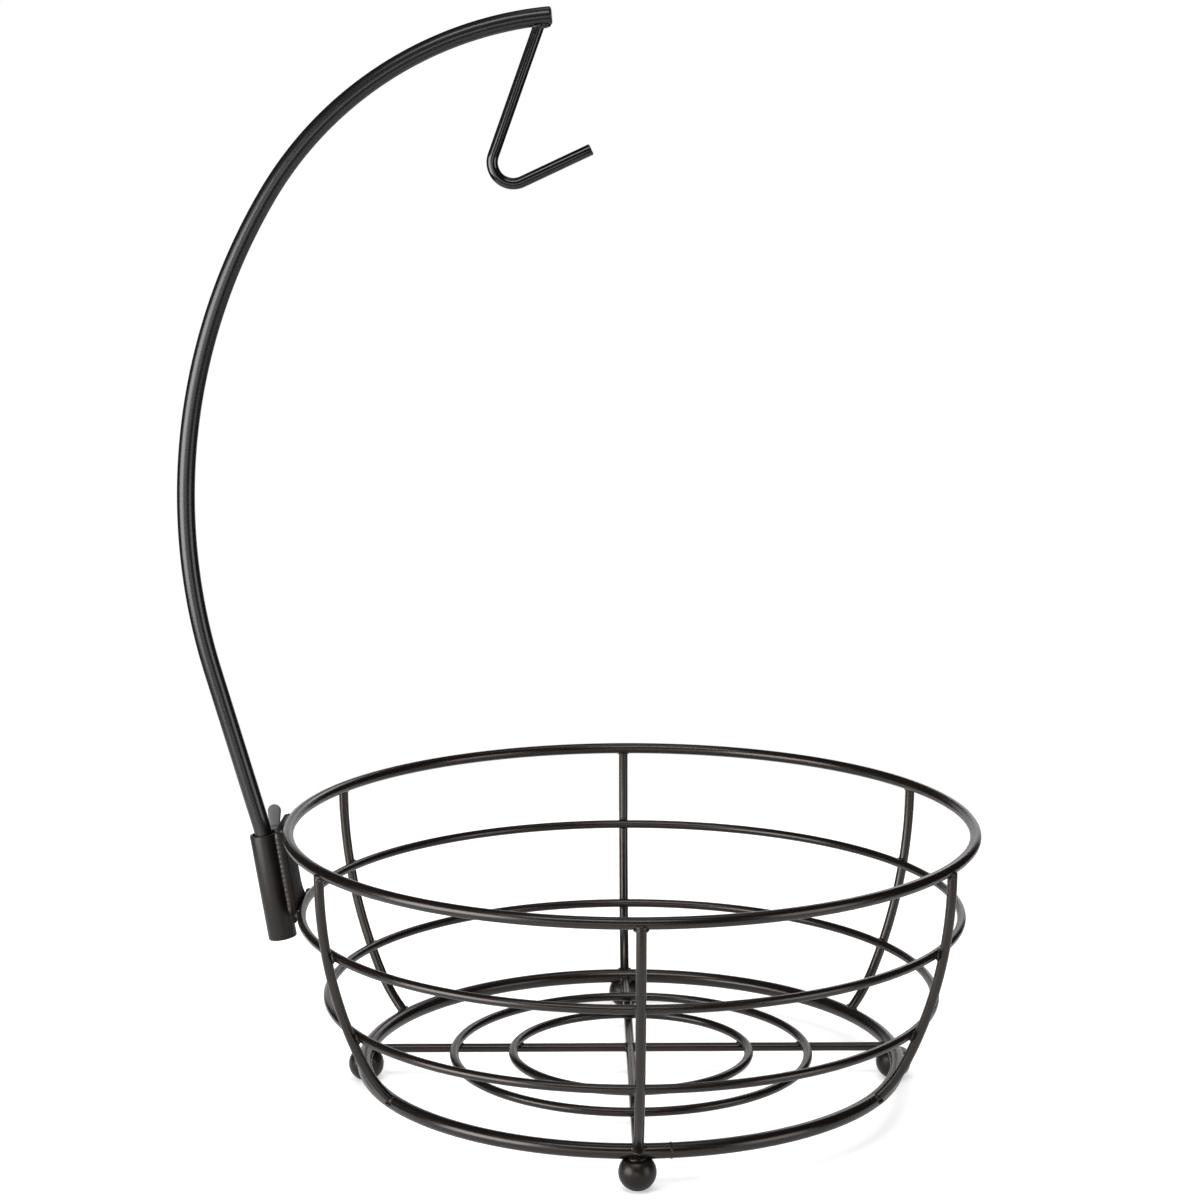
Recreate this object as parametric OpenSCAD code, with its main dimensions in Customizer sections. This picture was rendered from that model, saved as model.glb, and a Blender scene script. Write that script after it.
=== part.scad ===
// Round wire fruit basket with an arched hanger pole that plugs into a sleeve on its side.
// Origin on the basket's axis at table level, +Z up. Azimuth 0 is the front (-Y), 90 is the right (+X).

/* [Basket] */
// Radius of the rim ring, to the middle of its wire
rim_r = 134.7; // [120:0.1:160]
// Wire diameter of the rim ring
rim_d = 4.5; // [3.6:0.1:6]
// Height of the rim ring above the table, to the middle of its wire
rim_z = 109; // [100:1:125]
// Radius of the base ring, to the middle of its wire
base_r = 106; // [98:1:112]
// Wire diameter of the base ring
base_d = 5.8; // [4.6:0.1:7]
// Height of the base ring above the table, to the middle of its wire
base_z = 14.4; // [13:0.2:16]
// Wire diameter of the two wall hoops
hoop_d = 3.5; // [2.6:0.1:4.4]
// Height of the upper wall hoop
upper_hoop_z = 76; // [70:1:82]
// Height of the lower wall hoop
lower_hoop_z = 43; // [36:1:52]

/* [Ribs] */
// Azimuth of the front rib
rib_azimuth = 0.9; // [-10:0.1:10]
// Wire diameter of the ribs
rib_d = 3.8; // [3:0.1:4.6]
// How far a rib's top stands outside the middle of the rim wire
rib_outset = 1.4; // [0.6:0.1:2]
// Radius of a rib's long bow, as a share of one plain arc from the rim to the base
rib_bow_ratio = 1.09; // [1.04:0.01:1.16]
// Angle at which a rib's foot runs into the base ring, as a share of that arc's
rib_tuck_ratio = 1.29; // [1.2:0.01:1.4]
// Depth to which welded wires sink into each other
weld_sink = 0.3; // [0.1:0.05:0.5]

/* [Floor and feet] */
// Wire diameter of the floor rings and floor bars
floor_d = 3.5; // [2.6:0.1:4.4]
// Radius of the large floor ring
floor_ring_r = 70.5; // [60:0.5:82]
// Radius of the small floor ring
floor_ring_small_r = 47; // [30:0.5:54]
// Depth of the floor bars' middle below the middle of the base ring
bar_drop = 1.2; // [0:0.1:2]
// Diameter of the ball feet
foot_d = 14.1; // [13:0.1:16]
// How far the ball feet stand outside the middle of the base ring
foot_outset = 1.5; // [0:0.1:3]
// Azimuth of the front foot
foot_azimuth = 0.7; // [-5:0.1:5]
// Angle from the front foot to each side foot
foot_spread = 97.5; // [80:0.5:110]

/* [Sleeve and plate] */
// Azimuth of the sleeve
sleeve_azimuth = -92.3; // [-95:0.1:-88]
// Outer diameter of the sleeve
sleeve_d = 11.3; // [11:0.1:13]
// Bore of the sleeve
sleeve_bore = 9.3; // [9:0.1:9.8]
// Length of the sleeve
sleeve_len = 43; // [40:1:50]
// Depth of the sleeve's mouth below the middle of the rim, along the sleeve
sleeve_drop = 2.7; // [2:0.1:8]
// Thickness of the sheet plate behind the sleeve
plate_t = 2; // [1:0.1:2.4]
// Width of the plate at the rim and below it
plate_neck_w = 20; // [16:0.5:26]
// Width of the plate where it lies on the upper hoop
plate_end_w = 33; // [28:0.5:38]
// Radius of the flare from the neck to that end
plate_flare_r = 9; // [7:0.5:14]
// Thickness of the weld bed between the plate and the sleeve
bed_t = 2.2; // [1.2:0.1:2.6]
// Width of the weld bed
bed_w = 7; // [5:0.5:9]

/* [Hanger] */
// Diameter of the pole
pole_d = 7; // [6:0.1:7.5]
// Length of the pole's straight tail inside the sleeve
pole_tail = 37; // [30:1:40]
// Radius of the small bend at the sleeve's mouth
pole_mouth_r = 30; // [26:1:60]
// Lean of the pole above the sleeve, away from the basket
pole_lean = 16; // [13:0.1:20]
// Straight length of the pole above the sleeve
pole_rise = 64.7; // [40:0.1:80]
// Radius of the pole's side bow
arch_side_r = 232; // [210:1:280]
// Radius of the arch's crown
arch_crown_r = 142; // [120:1:160]
// Inward lean of the pole where the crown begins
crown_start = 31.4; // [24:0.1:36]
// Inward lean of the pole at its free end
crown_end = 85; // [80:0.1:90]
// Diameter of the hook wire
hook_d = 4.4; // [3.6:0.1:5]
// Distance of the hook from the pole's free end
hook_inset = 3.6; // [3:0.1:8]
// Angle of the hook's shank from upright
hook_slant = 19.9; // [16:0.1:30]
// Rise of the hook's prong above level
hook_rise = 25; // [10:0.5:35]
// Straight length of the hook's shank, from the pole's middle
hook_shank = 55; // [40:0.5:70]
// Straight length of the hook's prong
hook_prong = 29; // [20:0.5:50]
// Radius of the hook's bend, to the middle of its wire
hook_bend_r = 8; // [5:0.5:14]

/* [Clamp screw] */
// Nominal diameter of the clamp screw
screw_d = 5; // [4:0.1:5.4]
// Depth of the screw's axis below the sleeve's mouth
screw_drop = 6; // [5.6:0.1:7]
// Width of the nut across its flats
nut_flats = 8; // [7.6:0.1:9]
// Height of the nut from the sleeve's surface
nut_h = 4.5; // [3.5:0.1:6]
// Length of screw seen between the nut and its head
screw_gap = 10; // [1:0.1:12]
// Diameter of the screw head's hub
hub_d = 7; // [6.4:0.1:8]
// Length of the screw head's hub
hub_len = 6; // [5:0.1:8]
// Reach of each wing from the screw's axis
wing_reach = 11.7; // [9:0.1:12.6]
// Width of a wing near its tip
wing_w = 5.4; // [4:0.1:6]
// Thickness of the wings
wing_t = 2; // [1.4:0.1:2.6]
// Backward lean of the wings
wing_sweep = 22; // [10:1:30]
// Turn of the upper wing towards the basket
wing_turn = 5; // [-30:1:30]

/* [Fits] */
// Gap between the pole and the sleeve's wall on its clamped side
pole_seat_gap = 0.3; // [0.2:0.05:0.4]
// Gap between the screw's tip and the pole
screw_tip_gap = 0.3; // [0.2:0.05:0.4]
// Radial running clearance of the screw in the nut
screw_fit = 0.05; // [0.02:0.01:0.1]

/* [Hidden] */
$fn = 64;
black = "#2b2826";
pole_black = "#232324";
zinc = "#4a4a4a";
// Cut-outs run past the faces that they open by this much
past = 1;
// Length of the joint between two lengths of a bent wire
joint = 0.02;

// A rib starts straight down at the rim and follows two arcs to the middle of the base ring
rib_top_r = rim_r + rib_outset;
rib_bow_z = rim_z - rim_d / 2;
rib_w = rib_top_r - base_r;
rib_dz = base_z - rib_bow_z;
rib_arc_r = (rib_w * rib_w + rib_dz * rib_dz) / (2 * rib_w);
rib_bow_r = rib_bow_ratio * rib_arc_r;
rib_end_a = rib_tuck_ratio * atan2(-rib_dz, rib_arc_r - rib_w);
rib_dx = rib_bow_r - rib_w;
rib_foot_r = (rib_bow_r * rib_bow_r - rib_dx * rib_dx - rib_dz * rib_dz)
             / (2 * (rib_bow_r - rib_dx * cos(rib_end_a) + rib_dz * sin(rib_end_a)));
rib_bow_a = atan2(-rib_dz - rib_foot_r * sin(rib_end_a), rib_dx - rib_foot_r * cos(rib_end_a));
rib_runs = [[rim_d / 3, rib_bow_r, -rib_bow_a], [0, rib_foot_r, rib_bow_a - rib_end_a]];
rib_step = 360 / 6;

// Hoops lie on the inside of the ribs' bow, sunk into them by the weld
hoop_seat_r = rib_bow_r - (rib_d + hoop_d) / 2 + weld_sink;
function hoop_r(z) = rib_top_r - rib_bow_r + sqrt(pow(hoop_seat_r, 2) - pow(rib_bow_z - z, 2));
upper_hoop_r = hoop_r(upper_hoop_z);
lower_hoop_r = hoop_r(lower_hoop_z);

// Floor bars end in the base ring, and the floor rings lie on them
bar_z = base_z - bar_drop;
floor_z = bar_z + floor_d - weld_sink;
foot_r = base_r + foot_outset;
spoke_y = -foot_r * cos(foot_spread);

// The plate lies against the outside of the rim and the upper hoop
wall_dx = rim_r - upper_hoop_r;
wall_dz = rim_z - upper_hoop_z;
wall_len = sqrt(wall_dx * wall_dx + wall_dz * wall_dz);
plate_tilt = atan2(wall_dx, wall_dz) + asin((rim_d - hoop_d) / 2 / wall_len);
plate_face = rim_d / 2 - weld_sink;
plate_top = rim_d / 3;
plate_low = wall_len + hoop_d * 0.9;
sleeve_off = plate_face + plate_t + bed_t + sleeve_d / 2 - weld_sink;
pole_play = (sleeve_bore - pole_d) / 2 - pole_seat_gap;

// The pole from its tail to its free end, and the hook from the pole to its tip
pole_runs = [[pole_tail, pole_mouth_r, pole_lean - plate_tilt],
             [pole_rise, arch_side_r, -pole_lean - crown_start],
             [0, arch_crown_r, crown_start - crown_end]];
hook_runs = [[hook_shank, hook_bend_r, -hook_slant - 90 - hook_rise], [hook_prong, hook_bend_r, 0]];

// Clamp screw, measured along its axis from the sleeve's axis
nut_end = sleeve_d / 2 + nut_h;
hub_start = nut_end + screw_gap;
hub_end = hub_start + hub_len;
screw_tip = pole_d / 2 - pole_play + screw_tip_gap;

// A ring of round wire at height z
module wire_ring(r, d, z) {
    translate([0, 0, z]) rotate_extrude($fn = 180) translate([r, 0]) rotate(135) circle(d = d, $fn = 32);
}

// A wire that starts at the origin along +Z. Each run is [straight length, bend radius, turn];
// a positive turn bends it towards +X.
module wire_path(runs, d, i = 0) {
    if (i < len(runs)) {
        straight = runs[i][0];
        r = runs[i][1];
        turn = runs[i][2];
        if (straight > 0) {
            cylinder(d = d, h = straight, $fn = 32);
            if (turn != 0) translate([0, 0, straight]) wire_joint(d);
        }
        translate([0, 0, straight > 0 ? straight + joint : 0]) {
            if (turn != 0) wire_bend(r, turn, d);
            translate([(turn < 0 ? -1 : 1) * r * (1 - cos(turn)), 0, r * sin(abs(turn))])
                rotate([0, turn, 0]) {
                    if (i < len(runs) - 1) wire_joint(d);
                    translate([0, 0, joint]) wire_path(runs, d, i + 1);
                }
        }
    }
}

// Straight and bent lengths of a wire meet in a ball that closes the joint between them
module wire_joint(d) {
    translate([0, 0, joint / 2]) sphere(d = d + 2 * joint, $fn = 32);
}

module wire_bend(r, turn, d) {
    rotate([0, 0, turn < 0 ? 0 : 180])
        translate([-r, 0, 0])
        rotate([90, 0, 0])
        rotate_extrude(angle = abs(turn), $fn = 180)
        translate([r, 0]) circle(d = d, $fn = 32);
}

// Moves a piece to the end of such a wire
module after_path(runs, i = 0) {
    if (i < len(runs)) {
        straight = runs[i][0];
        r = runs[i][1];
        turn = runs[i][2];
        translate([(turn < 0 ? -1 : 1) * r * (1 - cos(turn)), 0,
                   (straight > 0 ? straight + joint : 0) + r * sin(abs(turn))])
            rotate([0, turn, 0])
            translate([0, 0, i < len(runs) - 1 ? joint : 0])
            after_path(runs, i + 1) children();
    } else {
        children();
    }
}

// Puts a piece that is drawn outwards along +X at an azimuth
module at_azimuth(a) {
    rotate([0, 0, a - 90]) children();
}

module rim_ring() {
    color(black) wire_ring(rim_r, rim_d, rim_z);
}

module upper_hoop() {
    color(black) wire_ring(upper_hoop_r, hoop_d, upper_hoop_z);
}

module lower_hoop() {
    color(black) wire_ring(lower_hoop_r, hoop_d, lower_hoop_z);
}

module base_ring() {
    color(black) wire_ring(base_r, base_d, base_z);
}

// A rib butts under the rim, is notched for the hoops and ends on the base ring
module rib(i) {
    color(black) difference() {
        at_azimuth(rib_azimuth + i * rib_step)
            translate([rib_top_r, 0, rib_bow_z + rim_d / 3])
            rotate([180, 0, 0])
            wire_path(rib_runs, rib_d);
        rim_ring();
        upper_hoop();
        lower_hoop();
        base_ring();
    }
}

module floor_ring(r) {
    color(black) difference() {
        wire_ring(r, floor_d, floor_z);
        floor_bar();
        floor_spoke(1);
        floor_spoke(-1);
    }
}

// The floor bar runs from front to back
module floor_bar() {
    color(black) difference() {
        at_azimuth(foot_azimuth)
            translate([-base_r, 0, bar_z])
            rotate([0, 90, 0]) cylinder(d = floor_d, h = 2 * base_r);
        base_ring();
    }
}

// A spoke butts on the floor bar and ends in the base ring by a side foot; side is 1 for the right one
module floor_spoke(side) {
    color(black) difference() {
        rotate([0, 0, foot_azimuth])
            translate([0, spoke_y, bar_z])
            rotate([0, 90 * side, 0]) cylinder(d = floor_d, h = sqrt(base_r * base_r - spoke_y * spoke_y));
        floor_bar();
        base_ring();
    }
}

// A ball foot has a flat top on which the base ring lies
module foot(a) {
    color(black) difference() {
        at_azimuth(a) translate([foot_r, 0, foot_d / 2]) sphere(d = foot_d, $fn = 64);
        at_azimuth(a) translate([foot_r - foot_d / 2, -foot_d / 2, base_z - base_d / 2 + weld_sink])
            cube(foot_d);
        base_ring();
        floor_bar();
        floor_spoke(1);
        floor_spoke(-1);
    }
}

// The sleeve's own frame: origin on the rim wire's middle, +Z up along the plate, +X away from the basket
module sleeve_frame() {
    at_azimuth(sleeve_azimuth)
        translate([rim_r, 0, rim_z])
        rotate([0, plate_tilt, 0])
        children();
}

// The outline of the plate: a neck with straight flanks that flares to its end on the upper hoop
module plate_outline() {
    side = plate_neck_w / 2 + plate_flare_r;
    flare_z = sqrt(pow(plate_flare_r, 2) - pow(side - plate_end_w / 2, 2)) - wall_len;
    difference() {
        translate([-plate_end_w / 2, -plate_low]) square([plate_end_w, plate_top + plate_low]);
        for (s = [-1, 1])
            translate([s * side, flare_z]) {
                circle(r = plate_flare_r, $fn = 96);
                translate([-plate_flare_r, 0]) square([2 * plate_flare_r, plate_top - flare_z + past]);
            }
    }
}

// The plate with the weld bed for the sleeve
module bracket_plate() {
    color(black) difference() {
        sleeve_frame() {
            translate([plate_face, 0, 0])
                rotate([90, 0, 90])
                linear_extrude(plate_t) plate_outline();
            translate([plate_face + plate_t - weld_sink, -bed_w / 2, -plate_low + bed_t])
                cube([bed_t + weld_sink, bed_w, plate_low - bed_t - sleeve_drop - bed_t]);
        }
        rim_ring();
        upper_hoop();
    }
}

module pole_sleeve() {
    color(black) difference() {
        sleeve_frame()
            translate([sleeve_off, 0, -sleeve_drop - sleeve_len])
            difference() {
                cylinder(d = sleeve_d, h = sleeve_len);
                translate([0, 0, -past]) cylinder(d = sleeve_bore, h = sleeve_len + 2 * past);
                translate([0, 0, sleeve_len - screw_drop])
                    rotate([90, 0, 0]) cylinder(d = screw_d, h = sleeve_d);
            }
        bracket_plate();
    }
}

// The screw's own frame: origin on the sleeve's axis, +Z along the screw towards its head
module screw_frame() {
    sleeve_frame()
        translate([sleeve_off, 0, -sleeve_drop - screw_drop])
        rotate([90, 0, 0])
        children();
}

module clamp_nut() {
    color(black) screw_frame() difference() {
        cylinder(d = nut_flats / cos(30), h = nut_end, $fn = 6);
        translate([0, 0, -past]) cylinder(d = screw_d, h = nut_end + 2 * past);
        translate([0, sleeve_len / 2, 0]) rotate([90, 0, 0]) cylinder(d = sleeve_d, h = sleeve_len);
    }
}

// One wing: a flat rounded lobe that grows out of the hub and leans back
module wing() {
    tip = wing_reach / cos(wing_sweep) - wing_w / 2 - wing_t / 2;
    rotate([wing_sweep, 0, 0])
        translate([0, 0, -wing_t / 2])
        linear_extrude(wing_t) {
            translate([0, tip]) circle(d = wing_w, $fn = 48);
            polygon([[-hub_d / 4, 0], [hub_d / 4, 0], [wing_w / 2, tip], [-wing_w / 2, tip]]);
        }
}

module wing_screw() {
    color(zinc) screw_frame() {
        translate([0, 0, screw_tip])
            cylinder(d = screw_d - 2 * screw_fit, h = hub_start - screw_tip + past);
        translate([0, 0, hub_start]) cylinder(d = hub_d, h = hub_len);
        for (s = [0, 180])
            rotate([0, 0, wing_turn + s])
            translate([0, 0, (hub_start + hub_end) / 2])
            wing();
    }
}

// The pole's own frame starts at the sleeve's mouth, pushed over by the clamp screw
module pole_frame() {
    sleeve_frame()
        translate([sleeve_off, pole_play, -sleeve_drop])
        children();
}

module pole_body() {
    translate([0, 0, -pole_tail]) wire_path(pole_runs, pole_d);
}

module hanger_pole() {
    color(pole_black) pole_frame() pole_body();
}

// The hook hangs from the underside of the pole's free end and bends back under it
module hanger_hook() {
    color(pole_black) pole_frame() difference() {
        translate([0, 0, -pole_tail])
            after_path(pole_runs)
            translate([0, 0, -hook_inset])
            rotate([0, crown_end + 180 - hook_slant, 0])
            rotate([0, 0, 180]) wire_path(hook_runs, hook_d);
        pole_body();
    }
}

rim_ring();
upper_hoop();
lower_hoop();
base_ring();
floor_ring(floor_ring_r);  // floor_ring_large
floor_ring(floor_ring_small_r);  // floor_ring_small
floor_bar();
floor_spoke(1);  // floor_spoke_right
floor_spoke(-1);  // floor_spoke_left
rib(0);  // rib_front
rib(1);  // rib_front_right
rib(2);  // rib_back_right
rib(3);  // rib_back
rib(4);  // rib_back_left
rib(5);  // rib_front_left
foot(foot_azimuth);  // foot_front
foot(foot_azimuth + foot_spread);  // foot_right
foot(foot_azimuth + 180);  // foot_back
foot(foot_azimuth - foot_spread);  // foot_left
bracket_plate();
pole_sleeve();
clamp_nut();
wing_screw();
hanger_pole();
hanger_hook();
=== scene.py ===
import math

import bmesh
import bpy
from mathutils import Matrix, Vector, noise


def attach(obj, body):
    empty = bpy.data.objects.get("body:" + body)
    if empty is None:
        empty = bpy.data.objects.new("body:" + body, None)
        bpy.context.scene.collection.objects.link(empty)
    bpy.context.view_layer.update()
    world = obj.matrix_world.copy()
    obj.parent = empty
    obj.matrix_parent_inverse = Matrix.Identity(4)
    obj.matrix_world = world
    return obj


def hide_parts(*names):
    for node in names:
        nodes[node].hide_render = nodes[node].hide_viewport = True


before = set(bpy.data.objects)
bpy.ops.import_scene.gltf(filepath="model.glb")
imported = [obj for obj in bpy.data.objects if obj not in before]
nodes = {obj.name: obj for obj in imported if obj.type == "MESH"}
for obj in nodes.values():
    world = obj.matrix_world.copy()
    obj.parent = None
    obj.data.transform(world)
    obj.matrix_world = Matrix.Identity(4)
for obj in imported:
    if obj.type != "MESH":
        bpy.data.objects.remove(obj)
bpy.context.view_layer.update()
print("frame loaded:", len(nodes), "nodes")

up = Vector((0, 0, 1))


def addObject(name, data):
    made = bpy.data.objects.new(name, data)
    bpy.context.scene.collection.objects.link(made)
    return made


# Sets the camera or a light at its place and turns it to what it looks at
def pointAt(thing, place, aim):
    thing.location = place
    thing.rotation_euler = (Vector(aim) - Vector(place)).to_track_quat("-Z", "Y").to_euler()


# Camera: the angle and distance of the photograph
view = {
    "place": (-0.01235, -1.1530, 0.4099),
    "aim": (-0.01235, 0.0, 0.1995),
    "lens": 90.5,
    "sensor": 36.0,
    "farthest": 20,
}


def makeCamera():
    data = bpy.data.cameras.new("camera")
    data.lens = view["lens"]
    data.sensor_width = view["sensor"]
    data.clip_end = view["farthest"]
    camera = addObject("camera", data)
    pointAt(camera, view["place"], view["aim"])
    bpy.context.scene.camera = camera


makeCamera()
print("camera set")


# Studio: pale paper on the table, a pale card behind, soft boxes in front, overhead and behind
studio = {
    "floorSize": 0.9,
    "floorLow": (0.90, 0.90, 0.90, 1),     # the paper's faint clouding runs between these two
    "floorHigh": (0.93, 0.93, 0.93, 1),
    "floorCloud": 3.0,
    "floorRough": 0.9,
    "floorLift": (0.40, 0.40, 0.40, 1),    # added to the paper as seen, not as the wires mirror it
    "noLift": (0, 0, 0, 1),
    "card": {"place": (0, 1.7, 0.20), "width": 1.9, "height": 1.0, "glow": 1.0},
    "skySeen": 1.0,          # the white round the object
    "skyDim": 0.015,         # what the paint mirrors of it, as in a dimmed room
    "white": (1, 1, 1, 1),
    # place, aim, width, height, watts
    "wash": ((0, 0, 2.2), (0, 0, 0), 3.0, 3.0, 34),
    "lights": {
        "leftBox": ((-0.95, -0.60, 0.23), (-0.1, 0, 0.23), 0.85, 0.72, 17.0),
        "rightBox": ((1.15, -0.75, 0.30), (0, 0, 0.25), 0.70, 0.80, 6.0),
        "topBox": ((0.1, 0.3, 1.9), (0, 0, 0.2), 0.9, 0.7, 3.0),
        "frontBox": ((-0.35, -1.65, 0.12), (-0.1, 0, 0.22), 1.30, 0.40, 4.4),
        "upperBox": ((-0.30, -1.10, 1.75), (0, 0, 0.15), 1.50, 0.42, 14.0),
        "backBox": ((0.5, 1.55, 1.0), (0, 0, 0.15), 0.6, 0.5, 3.0),
    },
}


def makeLight(name, place, aim, width, height, watts):
    data = bpy.data.lights.new(name, "AREA")
    data.shape = "RECTANGLE"
    data.size, data.size_y, data.energy = width, height, watts
    light = addObject(name, data)
    pointAt(light, place, aim)
    return light


for lightName, row in studio["lights"].items():
    makeLight(lightName, *row)
makeLight("floorWash", *studio["wash"]).visible_glossy = False


# A socket with Python's operators, so shader maths reads as plain expressions
class Sock:
    def __init__(self, tree, out):
        self.tree, self.out = tree, out

    def math(self, op, other=0.0, swap=False):
        pair = (other, self) if swap else (self, other)
        return Build(self.tree).node("ShaderNodeMath", {"operation": op}, {0: pair[0], 1: pair[1]})

    def __add__(self, other): return self.math("ADD", other)
    def __radd__(self, other): return self.math("ADD", other, True)
    def __sub__(self, other): return self.math("SUBTRACT", other)
    def __rsub__(self, other): return self.math("SUBTRACT", other, True)
    def __mul__(self, other): return self.math("MULTIPLY", other)
    def __rmul__(self, other): return self.math("MULTIPLY", other, True)


class Build:
    def __init__(self, tree):
        self.tree = tree

    # One node: its settings first, then the values or links of its sockets; gives back its output
    def node(self, kind, settings=None, sockets=None, output=0):
        made = self.tree.nodes.new(kind)
        for key, value in (settings or {}).items():
            setattr(made, key, value)
        for key, value in (sockets or {}).items():
            if isinstance(value, Sock):
                self.tree.links.new(value.out, made.inputs[key])
            else:
                made.inputs[key].default_value = value
        return Sock(self.tree, made.outputs[output]) if made.outputs else None

    # A colour between two, by a factor
    def between(self, factor, low, high):
        return self.node("ShaderNodeMix", {"data_type": "RGBA"}, {0: factor, 6: low, 7: high}, 2)


def newMaterial(name):
    material = bpy.data.materials.new(name)
    material.use_nodes = True
    material.node_tree.nodes.clear()
    return material, Build(material.node_tree)


def finishMaterial(material, build, sockets):
    shader = build.node("ShaderNodeBsdfPrincipled", None, sockets)
    build.node("ShaderNodeOutputMaterial", None, {"Surface": shader})
    return material


# Powder coats: a near-black film with fine orange peel, faint mottling and a few dust specks
coats = {
    "basketCoat": {"dark": (0.0042, 0.0029, 0.0024), "light": (0.0085, 0.0061, 0.0051),
                   "rough": 0.25, "spread": 0.09, "peel": 900, "peelDepth": 0.000012, "seed": 1.3,
                   "gloss": 0.5, "tint": (1.0, 0.93, 0.88)},
    "footCoat": {"dark": (0.0040, 0.0028, 0.0023), "light": (0.0080, 0.0058, 0.0049),
                 "rough": 0.33, "spread": 0.10, "peel": 900, "peelDepth": 0.00002, "seed": 3.8,
                 "gloss": 0.30, "tint": (1.0, 0.93, 0.88)},
    "sleeveCoat": {"dark": (0.0045, 0.0036, 0.0031), "light": (0.0080, 0.0064, 0.0056),
                   "rough": 0.38, "spread": 0.08, "peel": 900, "peelDepth": 0.000012, "seed": 5.6,
                   "gloss": 0.32, "tint": (1.0, 0.95, 0.91)},
    "plateCoat": {"dark": (0.0045, 0.0034, 0.0029), "light": (0.0080, 0.0061, 0.0052),
                  "rough": 0.66, "spread": 0.12, "peel": 800, "peelDepth": 0.00003, "seed": 6.4,
                  "gloss": 0.12, "tint": (1.0, 0.94, 0.90)},
    "poleCoat": {"dark": (0.0042, 0.0041, 0.0041), "light": (0.0075, 0.0073, 0.0072),
                 "rough": 0.27, "spread": 0.03, "peel": 1000, "peelDepth": 0.000004, "seed": 4.1,
                 "gloss": 0.5, "tint": (1.0, 0.99, 0.98)},
    "hookCoat": {"dark": (0.0040, 0.0039, 0.0039), "light": (0.0065, 0.0063, 0.0063),
                 "rough": 0.14, "spread": 0.02, "peel": 1100, "peelDepth": 0.000002, "seed": 7.7,
                 "gloss": 0.5, "tint": (1.0, 1.0, 1.0)},
    "weldCoat": {"dark": (0.0042, 0.0029, 0.0024), "light": (0.0095, 0.0070, 0.0060),
                 "rough": 0.33, "spread": 0.14, "peel": 700, "peelDepth": 0.00006, "seed": 2.9,
                 "gloss": 0.5, "tint": (1.0, 0.93, 0.88)},
    "screwFinish": {"dark": (0.0450, 0.0450, 0.0460), "light": (0.0900, 0.0900, 0.0920),
                    "rough": 0.46, "spread": 0.16, "peel": 1500, "peelDepth": 0.00004, "seed": 9.2,
                    "gloss": 0.5, "tint": (1.0, 1.0, 1.0)},
}

# What every coat shares
coatDetail = {
    "mottleScale": 55.0, "mottleDetail": 4.0, "mottleRough": 0.6,
    "peelDetail": 2.0, "peelRough": 0.55, "peelShare": 0.6,
    "noiseMiddle": 0.5,
    "speckScale": 260.0, "speckEdge": 0.05, "speckCore": 0.02,
    "dust": (0.10, 0.095, 0.09, 1), "dustShows": 0.35, "dustRise": 0.8,
}


def makeCoat(name, coat):
    detail = coatDetail
    middle = detail["noiseMiddle"]
    material, build = newMaterial(name)
    place = build.node("ShaderNodeTexCoord", None, None, "Object")
    spot = build.node("ShaderNodeMapping", None, {"Vector": place, "Location": (coat["seed"],) * 3})
    mottle = build.node("ShaderNodeTexNoise", None, {
        "Vector": spot, "Scale": detail["mottleScale"], "Detail": detail["mottleDetail"],
        "Roughness": detail["mottleRough"]})
    grain = build.node("ShaderNodeTexNoise", None, {
        "Vector": spot, "Scale": float(coat["peel"]), "Detail": detail["peelDetail"],
        "Roughness": detail["peelRough"]})
    specks = build.node("ShaderNodeTexVoronoi", {"feature": "F1"},
                        {"Vector": spot, "Scale": detail["speckScale"]})
    dust = build.node("ShaderNodeMapRange", {"clamp": True}, {
        "Value": specks, "From Min": detail["speckEdge"], "From Max": detail["speckCore"],
        "To Min": 0.0, "To Max": 1.0})
    tint = build.between(mottle, (*coat["dark"], 1), (*coat["light"], 1))
    dusted = build.between(dust * detail["dustShows"], tint, detail["dust"])
    rough = ((mottle - middle) * coat["spread"]
             + (grain - middle) * (coat["spread"] * detail["peelShare"]) + coat["rough"])
    peel = build.node("ShaderNodeBump", None, {
        "Height": grain + dust * detail["dustRise"], "Distance": coat["peelDepth"], "Strength": 1.0})
    return finishMaterial(material, build, {
        "Base Color": dusted, "Roughness": rough, "Normal": peel, "Specular IOR Level": coat["gloss"],
        "Specular Tint": (*coat["tint"], 1), "Metallic": 0.0})


finishes = {name: makeCoat(name, coat) for name, coat in coats.items()}


def stagePlane(name, width, depth, turn, place, material):
    mesh = bmesh.new()
    bmesh.ops.create_grid(mesh, x_segments=1, y_segments=1, size=0.5)
    bmesh.ops.scale(mesh, vec=(width, depth, 1), verts=mesh.verts)
    bmesh.ops.rotate(mesh, matrix=Matrix.Rotation(turn, 3, "X"), verts=mesh.verts)
    bmesh.ops.translate(mesh, vec=place, verts=mesh.verts)
    data = bpy.data.meshes.new(name)
    mesh.to_mesh(data)
    mesh.free()
    data.materials.append(material)
    addObject(name, data)


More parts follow.
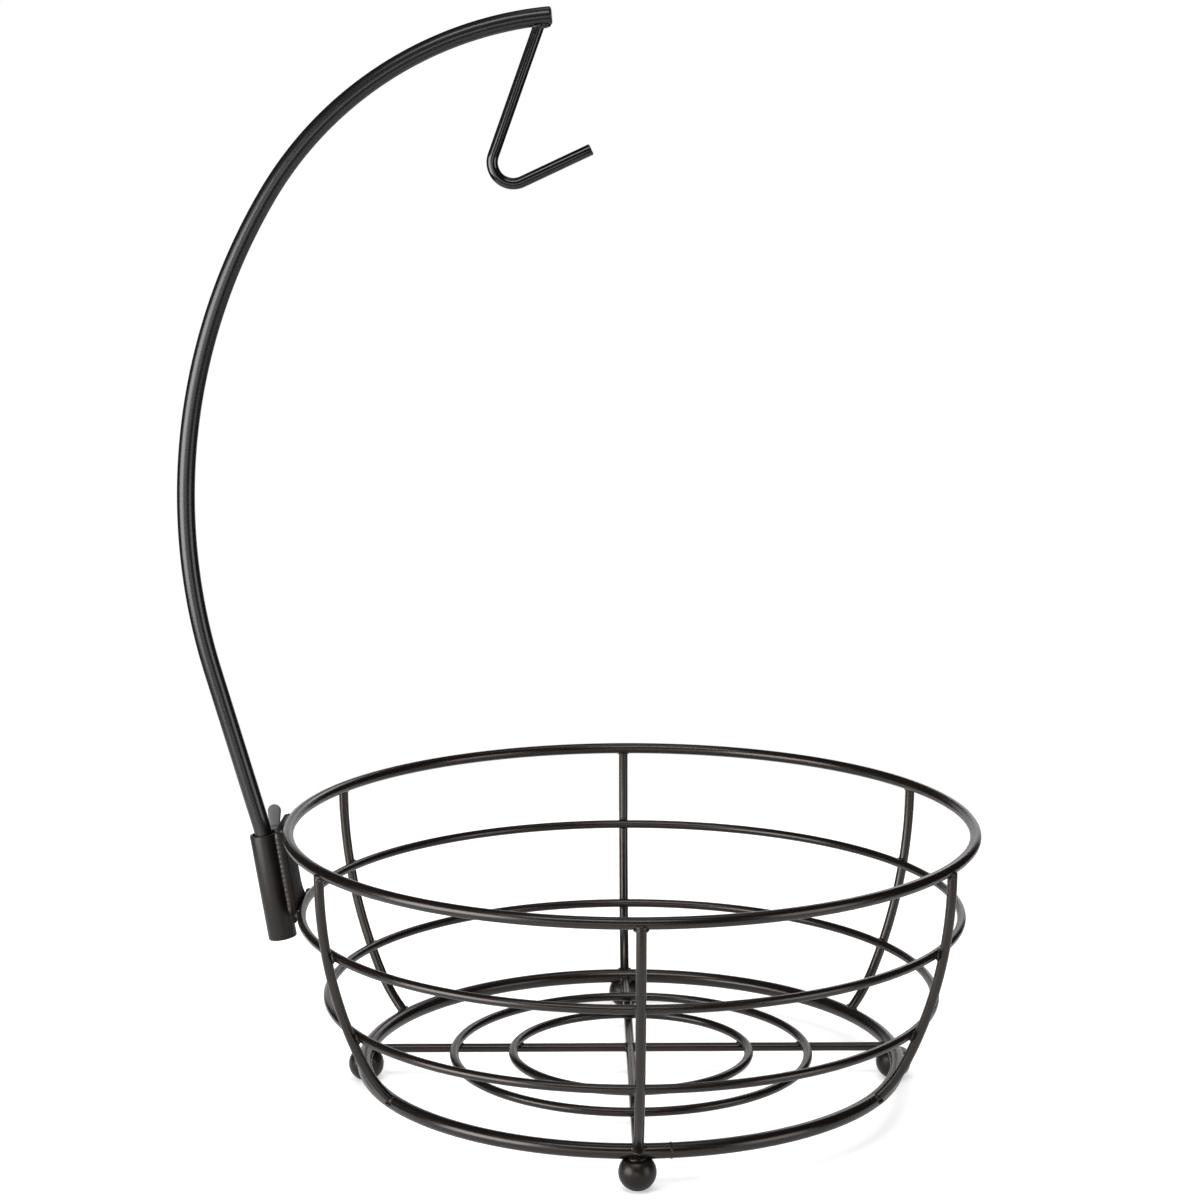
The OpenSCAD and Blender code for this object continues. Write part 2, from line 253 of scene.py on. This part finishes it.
def makeStage():
    paper, build = newMaterial("floorPaper")
    place = build.node("ShaderNodeTexCoord", None, None, "Object")
    cloud = build.node("ShaderNodeTexNoise", None,
                       {"Vector": place, "Scale": studio["floorCloud"], "Detail": 2.0})
    shade = build.between(cloud, studio["floorLow"], studio["floorHigh"])
    seen = build.node("ShaderNodeLightPath", None, None, "Is Camera Ray")
    lift = build.between(seen, studio["noLift"], studio["floorLift"])
    finishMaterial(paper, build, {
        "Base Color": shade, "Roughness": studio["floorRough"], "Specular IOR Level": 0.0,
        "Emission Color": lift, "Emission Strength": 1.0})
    stagePlane("floor", studio["floorSize"], studio["floorSize"], 0, (0, 0, 0), paper)
    card = studio["card"]
    glow, build = newMaterial("cardGlow")
    shine = build.node("ShaderNodeEmission", None, {"Color": studio["white"], "Strength": card["glow"]})
    build.node("ShaderNodeOutputMaterial", None, {"Surface": shine})
    stagePlane("card", card["width"], card["height"], math.pi / 2, card["place"], glow)


def makeSky():
    world = bpy.data.worlds.new("sky")
    world.use_nodes = True
    world.node_tree.nodes.clear()
    build = Build(world.node_tree)
    seen = build.node("ShaderNodeLightPath", None, None, "Is Camera Ray")
    level = seen * (studio["skySeen"] - studio["skyDim"]) + studio["skyDim"]
    sky = build.node("ShaderNodeBackground", None, {"Color": studio["white"], "Strength": level})
    build.node("ShaderNodeOutputWorld", None, {"Surface": sky})
    bpy.context.scene.world = world
    bpy.context.scene.view_settings.view_transform = "Standard"


makeStage()
makeSky()
print("studio ready")


# Measures of the welded frame, in metres and degrees, as the solids have them
wires = {
    "rimR": 0.1347, "rimZ": 0.1090,
    "baseR": 0.1060, "baseZ": 0.0144, "baseD": 0.0058,
    "ribs": 6, "ribD": 0.0038, "ribR": 0.1361, "ribTurn": 0.9, "ribStep": 60, "ribEndTilt": 46.6,
    "bowR": 0.17082, "bowZ": 0.10675,
    "hoopD": 0.0035, "hoopHeights": (0.0760, 0.0430),
    "sink": 0.0003,          # how deep crossing wires are pressed into each other
    "barZ": 0.0132, "floorD": 0.0035, "floorRings": (0.0705, 0.0470), "spokeY": 0.01403,
    "footTurn": 0.7, "footSpread": 97.5, "footR": 0.1063, "footTop": 0.0119,
}
clampUnit = {
    "turn": -92.3, "tilt": 9.13, "off": 0.0115, "drop": 0.0027,
    "sleeveR": 0.00565, "sleeveBoreR": 0.00465, "sleeveLen": 0.0430, "sleeveSides": 72,
    "mouthRound": 0.00028, "mouthSteps": 3,
    "plateIn": 0.00195, "plateOut": 0.00395, "plateTop": 0.0015, "plateLow": 0.0365,
    "plateHalf": 0.0100, "plateRim": 0.0098, "plateRound": 0.00045, "plateSteps": 3,
    "flareHalf": 0.0165, "hoopDown": 0.03335, "bedHalf": 0.0035, "bedTop": 0.0049, "bedLow": 0.0343,
    "screwDown": 0.0087, "nutEnd": 0.01015, "nutR": 0.0043, "nutRound": 0.00035, "nutSteps": 2,
}
corner = math.radians(50)    # edges that turn more than this are corners


# Outward and sideways directions at an azimuth: 0 faces the viewer, positive to the right
def compass(azimuth):
    turn = math.radians(azimuth)
    return Vector((math.sin(turn), -math.cos(turn), 0)), Vector((math.cos(turn), math.sin(turn), 0))


# The clamp unit's own frame: X away from the wall, Y to the viewer, Z up the sleeve
sleeveTurn = (Matrix.Rotation(math.radians(clampUnit["turn"] - 90), 3, "Z")
              @ Matrix.Rotation(math.radians(clampUnit["tilt"]), 3, "Y"))
sleeveRoot = compass(clampUnit["turn"])[0] * wires["rimR"] + up * wires["rimZ"]
away, near, rise = (sleeveTurn.col[i].copy() for i in range(3))


def onSleeve(x, y, z):
    return sleeveRoot + sleeveTurn @ Vector((x, y, z))


def fromSleeve(place):
    return sleeveTurn.transposed() @ (place - sleeveRoot)


# A finished mesh becomes a piece that rides on a body; edges past the sharp angle stay crisp
def makePiece(name, mesh, coat, body, hides=(), sharp=38):
    data = bpy.data.meshes.new(name)
    mesh.to_mesh(data)
    mesh.free()
    data.polygons.foreach_set("use_smooth", [True] * len(data.polygons))
    data.set_sharp_from_angle(angle=math.radians(sharp))
    data.materials.append(finishes[coat])
    piece = addObject(name, data)
    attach(piece, body)
    if hides:
        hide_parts(*hides)


def roundEdges(mesh, edges, width, steps):
    bmesh.ops.bevel(mesh, geom=edges, offset=width, offset_type="OFFSET", affect="EDGES",
                    segments=steps, profile=0.5, material=-1)


# Spins an outline once round an axis
def turnRound(mesh, outline, centre, axis, steps):
    bmesh.ops.spin(mesh, geom=outline, cent=centre, axis=axis, angle=2 * math.pi, steps=steps,
                   use_merge=True, dvec=(0, 0, 0), use_duplicate=False)


# A lump of weld metal: a ball squeezed to three half sizes, with an uneven skin
def bead(mesh, place, along, out, sizes, fine=3, uneven=0.16):
    side = along.cross(out).normalized()
    out = side.cross(along).normalized()
    shape = Matrix((along.normalized() * sizes[0], side * sizes[1], out * sizes[2])).transposed().to_4x4()
    made = bmesh.ops.create_icosphere(mesh, subdivisions=fine, radius=1,
                                      matrix=Matrix.Translation(place) @ shape)
    for vert in made["verts"]:
        vert.co += (vert.co - place) * noise.noise(vert.co * welds["skinScale"]) * uneven


# Half sizes of the beads, along, across and out of their seat
beads = {
    "hoop": (0.0024, 0.0022, 0.0010),
    "ribCap": (0.0021, 0.0013, 0.0011),
    "ribCollar": (0.0028, 0.0017, 0.0009),
    "ribSide": (0.0010, 0.0014, 0.0009),
    "ribToe": (0.0019, 0.0008, 0.0009),
    "foot": (0.0038, 0.0034, 0.0010),
    "floor": (0.0020, 0.0020, 0.0008),
    "barEnd": (0.0024, 0.0021, 0.0010),
    "rimLap": (0.0018, 0.0013, 0.0013),
    "rimRun": (0.0011, 0.0007, 0.0005),
    "hoopLap": (0.0024, 0.0018, 0.0013),
    "bedRun": (0.0030, 0.0010, 0.0017),
    "nutRun": (0.0015, 0.0010, 0.0010),
}

# Seats of the beads, beyond what the wires' own measures give
welds = {
    "skinScale": 850, "crisp": 60,
    "capR": 0.1365, "capZ": 0.1079,            # on the rib's top, outside the rim
    "collarR": 0.1357, "collarZ": 0.1067,      # between rib and rim, under the rim
    "toeSpread": 0.0020,
    "lapDown": 0.0004, "hoopLapOut": 0.0010, "hoopLapInset": 0.0006,
    "bedOut": 0.0056, "bedInset": 0.0003, "bedCount": 16, "bedUneven": 0.10,
    "rimRunCount": 13, "rimRunStep": 0.0014, "rimRunSink": 0.0002,
    "nutCount": 20, "nutUneven": 0.08,
    "runFine": 2,
    "seamTurn": 7.4, "seamR": 0.00032, "seamSides": 8, "seamSteps": 56,
}


def ribWelds(mesh):
    tilt = math.radians(wires["ribEndTilt"])
    reach = wires["bowR"] - wires["ribD"] / 2 + wires["sink"] / 2
    seat = wires["bowR"] - (wires["ribD"] + wires["hoopD"]) / 2 + wires["sink"]
    for i in range(wires["ribs"]):
        out, side = compass(wires["ribTurn"] + i * wires["ribStep"])
        for height in wires["hoopHeights"]:
            fall = math.asin((wires["bowZ"] - height) / seat)
            normal = out * math.cos(fall) - up * math.sin(fall)
            place = (out * (wires["ribR"] - wires["bowR"]) + up * wires["bowZ"]) + normal * reach
            bead(mesh, place, side, normal, beads["hoop"])
        bead(mesh, out * welds["capR"] + up * welds["capZ"], side, up, beads["ribCap"])
        bead(mesh, out * welds["collarR"] + up * welds["collarZ"], side, up, beads["ribCollar"])
        normal = out * math.sin(tilt) + up * math.cos(tilt)
        ring = out * wires["baseR"] + up * wires["baseZ"]
        for turn in (-1, 1):
            place = ring + normal * (wires["baseD"] / 2) + side * (turn * welds["toeSpread"])
            bead(mesh, place, side, normal, beads["ribSide"])
        bead(mesh, ring + out * (wires["baseD"] / 2), side, out, beads["ribToe"])


def floorWelds(mesh):
    lowerZ = up * wires["barZ"]
    topZ = up * (wires["barZ"] + wires["floorD"] / 2)
    barOut, barSide = compass(wires["footTurn"])
    spokeLine = barOut * wires["spokeY"]
    inner = wires["baseR"] - wires["baseD"] / 2
    for turn in (-1, 1):
        for ringR in wires["floorRings"]:
            bead(mesh, barOut * (turn * ringR) + topZ, barOut, up, beads["floor"])
            reach = math.sqrt(ringR ** 2 - wires["spokeY"] ** 2)
            bead(mesh, barSide * (turn * reach) - spokeLine + topZ, barSide, up, beads["floor"])
        bead(mesh, barOut * (turn * inner) + lowerZ, barSide, barOut, beads["barEnd"])
        reach = math.sqrt(inner ** 2 - wires["spokeY"] ** 2)
        end = barSide * (turn * reach) - spokeLine
        bead(mesh, end + lowerZ, up.cross(end), end, beads["barEnd"])
        crossing = barSide * (turn * wires["floorD"] / 2) - spokeLine
        bead(mesh, crossing + lowerZ, barOut, barSide, beads["floor"])
    for azimuth in (0, wires["footSpread"], 180, -wires["footSpread"]):
        out, side = compass(wires["footTurn"] + azimuth)
        bead(mesh, out * wires["footR"] + up * wires["footTop"], side, up, beads["foot"])


def clampWelds(mesh):
    unit = clampUnit
    for turn in (-1, 1):
        bead(mesh, onSleeve(unit["plateIn"], turn * unit["plateHalf"], -welds["lapDown"]), near, away,
             beads["rimLap"])
        y = turn * (unit["flareHalf"] - welds["hoopLapInset"])
        bead(mesh, onSleeve(welds["hoopLapOut"], y, -unit["hoopDown"]), near, away, beads["hoopLap"])
        y = turn * (unit["bedHalf"] - welds["bedInset"])
        for i in range(welds["bedCount"]):
            z = -unit["bedTop"] - (unit["bedLow"] - unit["bedTop"]) * i / (welds["bedCount"] - 1)
            bead(mesh, onSleeve(welds["bedOut"], y, z), rise, away, beads["bedRun"], welds["runFine"],
                 welds["bedUneven"])
    for i in range(welds["rimRunCount"]):
        y = (i - (welds["rimRunCount"] - 1) / 2) * welds["rimRunStep"]
        place = onSleeve(unit["plateIn"] - welds["rimRunSink"], y, unit["plateTop"] - welds["rimRunSink"])
        bead(mesh, place, near, away, beads["rimRun"], welds["runFine"])
    for i in range(welds["nutCount"]):
        turn = 2 * math.pi * i / welds["nutCount"]
        x, z = unit["nutR"] * math.cos(turn), unit["nutR"] * math.sin(turn)
        y = -math.sqrt(unit["sleeveR"] ** 2 - x * x)
        bead(mesh, onSleeve(unit["off"] + x, y, z - unit["screwDown"]),
             rise * math.cos(turn) - away * math.sin(turn), near, beads["nutRun"], welds["runFine"],
             welds["nutUneven"])


# The butt seam of the base ring: a low ridge round the wire
def ringSeam(mesh):
    out, side = compass(welds["seamTurn"])
    centre = out * wires["baseR"] + up * wires["baseZ"]
    spot = Matrix.Translation(centre + out * (wires["baseD"] / 2))
    made = bmesh.ops.create_circle(mesh, segments=welds["seamSides"], radius=welds["seamR"],
                                   matrix=spot @ Matrix.Rotation(math.radians(welds["seamTurn"]), 4, "Z"))
    ring = [edge for edge in mesh.edges if all(vert in made["verts"] for vert in edge.verts)]
    turnRound(mesh, made["verts"] + ring, centre, side, welds["seamSteps"])


def makeWelds():
    mesh = bmesh.new()
    ribWelds(mesh)
    floorWelds(mesh)
    clampWelds(mesh)
    ringSeam(mesh)
    bmesh.ops.recalc_face_normals(mesh, faces=mesh.faces)
    makePiece("weldBeads", mesh, "weldCoat", "basket", sharp=welds["crisp"])


# The weld that holds the hook under the pole: place and half sizes of each bead
hookWeld = {
    "lean": (1, 0, 0.05), "uneven": 0.10,
    "beads": (((-0.0352, 0.0005, 0.4186), (0.0033, 0.0029, 0.0012)),
              ((-0.0332, 0.0005, 0.4190), (0.0025, 0.0026, 0.0013))),
}


def makeHookWeld():
    mesh = bmesh.new()
    for place, sizes in hookWeld["beads"]:
        bead(mesh, Vector(place), Vector(hookWeld["lean"]), up, sizes, uneven=hookWeld["uneven"])
    bmesh.ops.recalc_face_normals(mesh, faces=mesh.faces)
    makePiece("hookWeld", mesh, "poleCoat", "hanger", sharp=welds["crisp"])


makeWelds()
makeHookWeld()
print("welds made")


# Copies a CAD node and rounds its corners whose two ends pass a test
def roundedCopy(nodeName, width, steps, passes):
    mesh = bmesh.new()
    mesh.from_mesh(nodes[nodeName].data)
    bmesh.ops.remove_doubles(mesh, verts=mesh.verts, dist=1e-6)
    edges = [edge for edge in mesh.edges
             if len(edge.link_faces) == 2 and edge.calc_face_angle() > corner
             and all(passes(vert.co) for vert in edge.verts)]
    roundEdges(mesh, edges, width, steps)
    print(nodeName, "rounded edges:", len(edges))
    return mesh


slack = 0.0001               # how near a point must be to count as on an edge


# The plate's long sides, top and bottom
def plateEdge(co):
    place = fromSleeve(co)
    return (abs(place.y) > clampUnit["plateRim"] or place.z > clampUnit["plateTop"] - slack
            or place.z < slack - clampUnit["plateLow"]) and place.x < clampUnit["plateOut"] + slack


# The nut's open end
def nutEdge(co):
    return -fromSleeve(co).y > clampUnit["nutEnd"] - slack / 2


def makePlate():
    mesh = roundedCopy("bracket_plate", clampUnit["plateRound"], clampUnit["plateSteps"], plateEdge)
    makePiece("bracketSheet", mesh, "plateCoat", "basket", ("bracket_plate",))


def makeNut():
    mesh = roundedCopy("clamp_nut", clampUnit["nutRound"], clampUnit["nutSteps"], nutEdge)
    makePiece("screwNut", mesh, "basketCoat", "basket", ("clamp_nut",))


def makeSleeve():
    unit = clampUnit
    mesh = bmesh.new()
    foot = onSleeve(unit["off"], 0, -unit["drop"] - unit["sleeveLen"])
    corners = [mesh.verts.new(foot + away * radius + rise * height) for radius, height in (
        (unit["sleeveBoreR"], 0), (unit["sleeveR"], 0), (unit["sleeveR"], unit["sleeveLen"]),
        (unit["sleeveBoreR"], unit["sleeveLen"]))]
    outline = [mesh.edges.new((corners[i - 1], corners[i])) for i in range(4)]
    turnRound(mesh, corners + outline, foot, rise, unit["sleeveSides"])
    bmesh.ops.recalc_face_normals(mesh, faces=mesh.faces)
    rims = [edge for edge in mesh.edges if edge.calc_face_angle(0) > corner]
    roundEdges(mesh, rims, unit["mouthRound"], unit["mouthSteps"])
    makePiece("sleeveTube", mesh, "sleeveCoat", "basket", ("pole_sleeve",))


# Round rods: each run is a straight length, a bend radius and a turn, from the sleeve's own upright
pole = {
    "radius": 0.0035, "tail": 0.0370, "play": 0.00085, "angle": 0, "endRound": 0.0009,
    "runs": ((0.0370, 0.030, 6.87), (0.0647, 0.232, -47.4), (0.0, 0.142, -53.6)),
}
hook = {
    "radius": 0.0022, "start": (-0.03402, 0.00052, 0.42227), "angle": 150.97, "endRound": 0.00045,
    "runs": ((0.0550, 0.008, 134.9), (0.0290, 0.0, 0.0)),
}
rodSides, leastSteps, endSteps = 64, 8, 4    # sides of a rod, least steps of a bend, steps of a rounded end


# Along a rod that leans by an angle, and across it
def rodWays(turn):
    return (away * math.sin(turn) + rise * math.cos(turn),
            away * math.cos(turn) - rise * math.sin(turn))


def only(items, kind):
    return [item for item in items if isinstance(item, kind)]


def bentRod(rod, start):
    mesh = bmesh.new()
    turn = math.radians(rod["angle"])
    place = Vector(start)
    ahead, across = rodWays(turn)
    facing = Matrix((across, near, ahead)).transposed().to_4x4()
    bmesh.ops.create_circle(mesh, cap_ends=True, segments=rodSides, radius=rod["radius"],
                            matrix=Matrix.Translation(place) @ facing)
    loop = list(mesh.edges)
    for straight, bendR, bend in rod["runs"]:
        ahead, across = rodWays(turn)
        if straight:
            grown = bmesh.ops.extrude_edge_only(mesh, edges=loop)["geom"]
            bmesh.ops.translate(mesh, vec=ahead * straight, verts=only(grown, bmesh.types.BMVert))
            loop = only(grown, bmesh.types.BMEdge)
            place = place + ahead * straight
        if bend:
            arm = math.copysign(bendR, bend)
            centre = place + across * arm
            spun = bmesh.ops.spin(mesh, geom=loop, cent=centre, axis=near, angle=math.radians(bend),
                                  dvec=(0, 0, 0), steps=max(leastSteps, round(abs(bend))),
                                  use_merge=False, use_duplicate=False)["geom_last"]
            loop = only(spun, bmesh.types.BMEdge)
            turn += math.radians(bend)
            place = centre - rodWays(turn)[1] * arm
    bmesh.ops.holes_fill(mesh, edges=loop, sides=0)
    roundEdges(mesh, loop, rod["endRound"], endSteps)
    bmesh.ops.recalc_face_normals(mesh, faces=mesh.faces)
    return mesh


def makePole():
    mesh = bentRod(pole, onSleeve(clampUnit["off"], pole["play"], -clampUnit["drop"] - pole["tail"]))
    makePiece("hangerRod", mesh, "poleCoat", "hanger", ("hanger_pole",))


def makeHook():
    makePiece("hookWire", bentRod(hook, hook["start"]), "hookCoat", "hanger", ("hanger_hook",))


makePlate()
makeNut()
makeSleeve()
makePole()
makeHook()
print("plate, nut, sleeve, pole and hook made")


# Wing screw: a threaded shank, a hub and two rounded wings, in the frame of its own axis
wingScrew = {
    "tip": 0.00295, "hub": 0.02015, "hubEnd": 0.02615, "hubR": 0.0035, "hubTopR": 0.0031,
    "hubRound": 0.0007, "hubSteps": 3, "shankSides": 48,
    "coreR": 0.00205, "crestR": 0.00244, "overlap": 0.0005,
    "pitch": 0.0008, "threadFrom": 0.0008, "threadTo": 0.0192, "threadSteps": 32,
    "ridgeFoot": 0.46, "ridgeFlat": 0.18, "ridgeSink": 0.0001,
    "wingTurn": 5, "wingSweep": 22, "wingTip": 0.00892, "wingR": 0.0027, "wingRoot": 0.00175,
    "wingT": 0.0020, "wingRound": 0.00065, "wingSteps": 4, "wingSides": 40,
}


# A round length along the screw's axis, with softened ends where asked
def shankRod(mesh, low, high, lowR, highR, soften=0.0):
    made = bmesh.ops.create_cone(mesh, cap_ends=True, cap_tris=False, segments=wingScrew["shankSides"],
                                 radius1=lowR, radius2=highR, depth=high - low,
                                 matrix=Matrix.Translation((0, 0, (low + high) / 2)))
    if soften:
        rims = [edge for edge in mesh.edges if all(vert in made["verts"] for vert in edge.verts)
                and abs(edge.verts[0].co.z - edge.verts[1].co.z) < 1e-7]
        roundEdges(mesh, rims, soften, wingScrew["hubSteps"])


def makeWing(screw, turn):
    made = bmesh.new()
    for y, radius in ((0, screw["wingRoot"]), (screw["wingTip"], screw["wingR"])):
        bmesh.ops.create_cone(made, cap_ends=True, segments=screw["wingSides"], radius1=radius,
                              radius2=radius, depth=screw["wingT"], matrix=Matrix.Translation((0, y, 0)))
    hull = bmesh.ops.convex_hull(made, input=made.verts)
    loose = set(only(hull["geom_interior"] + hull["geom_unused"], bmesh.types.BMVert))
    bmesh.ops.delete(made, geom=list(loose), context="VERTS")
    bmesh.ops.dissolve_limit(made, angle_limit=math.radians(1), verts=made.verts, edges=made.edges)
    sharp = [edge for edge in made.edges if len(edge.link_faces) == 2 and edge.calc_face_angle() > corner]
    roundEdges(made, sharp, screw["wingRound"], screw["wingSteps"])
    sweep = Matrix.Rotation(math.radians(screw["wingSweep"]), 3, "X")
    swing = Matrix.Rotation(math.radians(screw["wingTurn"] + turn), 3, "Z")
    bmesh.ops.rotate(made, verts=made.verts, matrix=sweep)
    bmesh.ops.translate(made, verts=made.verts, vec=(0, 0, (screw["hub"] + screw["hubEnd"]) / 2))
    bmesh.ops.rotate(made, verts=made.verts, matrix=swing)
    return made


# One outline of the thread's ridge, carried round and along the core
def makeThread(mesh, screw):
    start = screw["tip"] + screw["threadFrom"]
    half = screw["pitch"] * screw["ridgeFoot"]
    foot = screw["coreR"] - screw["ridgeSink"]
    ridge = [mesh.verts.new((radius, 0, start + height)) for radius, height in (
        (foot, -half), (screw["crestR"], -half * screw["ridgeFlat"]),
        (screw["crestR"], half * screw["ridgeFlat"]), (foot, half))]
    turns = (screw["threadTo"] - start) / screw["pitch"]
    steps = screw["threadSteps"]
    bmesh.ops.spin(mesh, geom=[mesh.faces.new(ridge)], cent=(0, 0, 0), axis=(0, 0, 1),
                   dvec=(0, 0, screw["pitch"] / steps), angle=2 * math.pi * turns,
                   steps=int(steps * turns), use_merge=False, use_duplicate=False)


def makeScrew(screw):
    mesh = bmesh.new()
    shankRod(mesh, screw["tip"], screw["hub"] + 2 * screw["overlap"], screw["coreR"], screw["coreR"])
    shankRod(mesh, screw["hub"], screw["hubEnd"], screw["hubR"], screw["hubTopR"], screw["hubRound"])
    shankRod(mesh, screw["threadTo"], screw["hub"] + screw["overlap"], screw["crestR"], screw["crestR"])
    makeThread(mesh, screw)
    for turn in (0, 180):
        wing = makeWing(screw, turn)
        data = bpy.data.meshes.new("wing")
        wing.to_mesh(data)
        wing.free()
        mesh.from_mesh(data)
        bpy.data.meshes.remove(data)
    bmesh.ops.recalc_face_normals(mesh, faces=mesh.faces)
    place = Matrix((away, rise, -near)).transposed().to_4x4()
    place.translation = onSleeve(clampUnit["off"], 0, -clampUnit["screwDown"])
    bmesh.ops.transform(mesh, matrix=place, verts=mesh.verts)
    makePiece("wingScrew", mesh, "screwFinish", "clamp_screw", ("wing_screw",))


makeScrew(wingScrew)
print("wing screw made")


# Carried-over CAD nodes take their coat
for nodeName, nodeObject in nodes.items():
    coatName = "footCoat" if nodeName.startswith("foot_") else "basketCoat"
    nodeObject.data.materials.clear()
    nodeObject.data.materials.append(finishes[coatName])
print("nodes coated")
